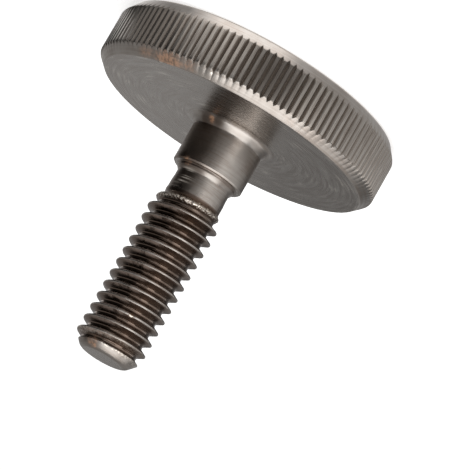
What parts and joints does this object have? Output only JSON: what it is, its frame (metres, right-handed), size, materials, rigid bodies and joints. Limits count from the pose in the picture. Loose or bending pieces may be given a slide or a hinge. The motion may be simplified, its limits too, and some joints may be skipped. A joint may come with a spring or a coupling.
{
  "type": "thumb screw",
  "caption": "Turned steel thumb screw with a straight-knurled disc head, a plain collar, a relieved neck and a right-hand threaded shank with a chamfered tip.",
  "frame": {"origin": "centre of the flat outer face of the head, on which the screw stands", "axes": "+Z along the screw's axis, from the head towards the tip of the shank"},
  "size_m": [0.0336, 0.0336, 0.0351],
  "materials": {
    "turned_steel": "turned plain steel, uncoated, oily in the thread and lightly rusted in places"
  },
  "bodies": {
    "root": {"thumb_screw": "turned_steel"}
  },
  "joints": []
}
